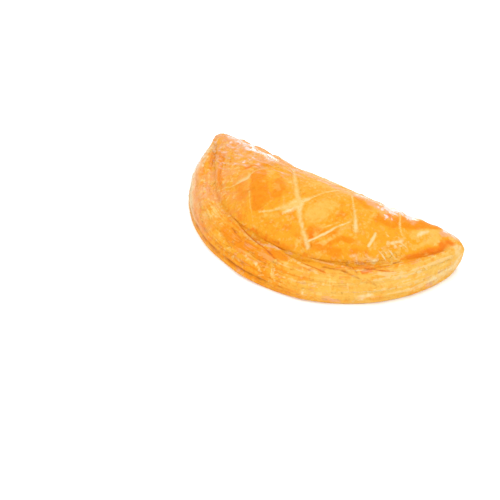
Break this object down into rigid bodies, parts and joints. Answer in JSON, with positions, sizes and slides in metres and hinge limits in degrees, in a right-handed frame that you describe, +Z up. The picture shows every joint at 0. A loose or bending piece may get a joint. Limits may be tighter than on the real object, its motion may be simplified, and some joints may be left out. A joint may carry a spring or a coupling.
{
  "type": "puff pastry empanada",
  "caption": "Whole half-moon savoury turnover in golden puff pastry: domed top scored in a diamond pattern, straight folded edge, thick flaky sealed rim, flat base",
  "frame": {"origin": "the middle of the footprint's box, on the surface that the pastry rests on", "axes": "+X along the straight folded edge, +Y from the curved sealed rim towards the fold, +Z up"},
  "size_m": [0.159, 0.0764, 0.0312],
  "materials": {
    "crust": "golden baked puff pastry with a satin egg-wash glaze"
  },
  "bodies": {
    "root": {"pastry": "crust"}
  },
  "joints": []
}
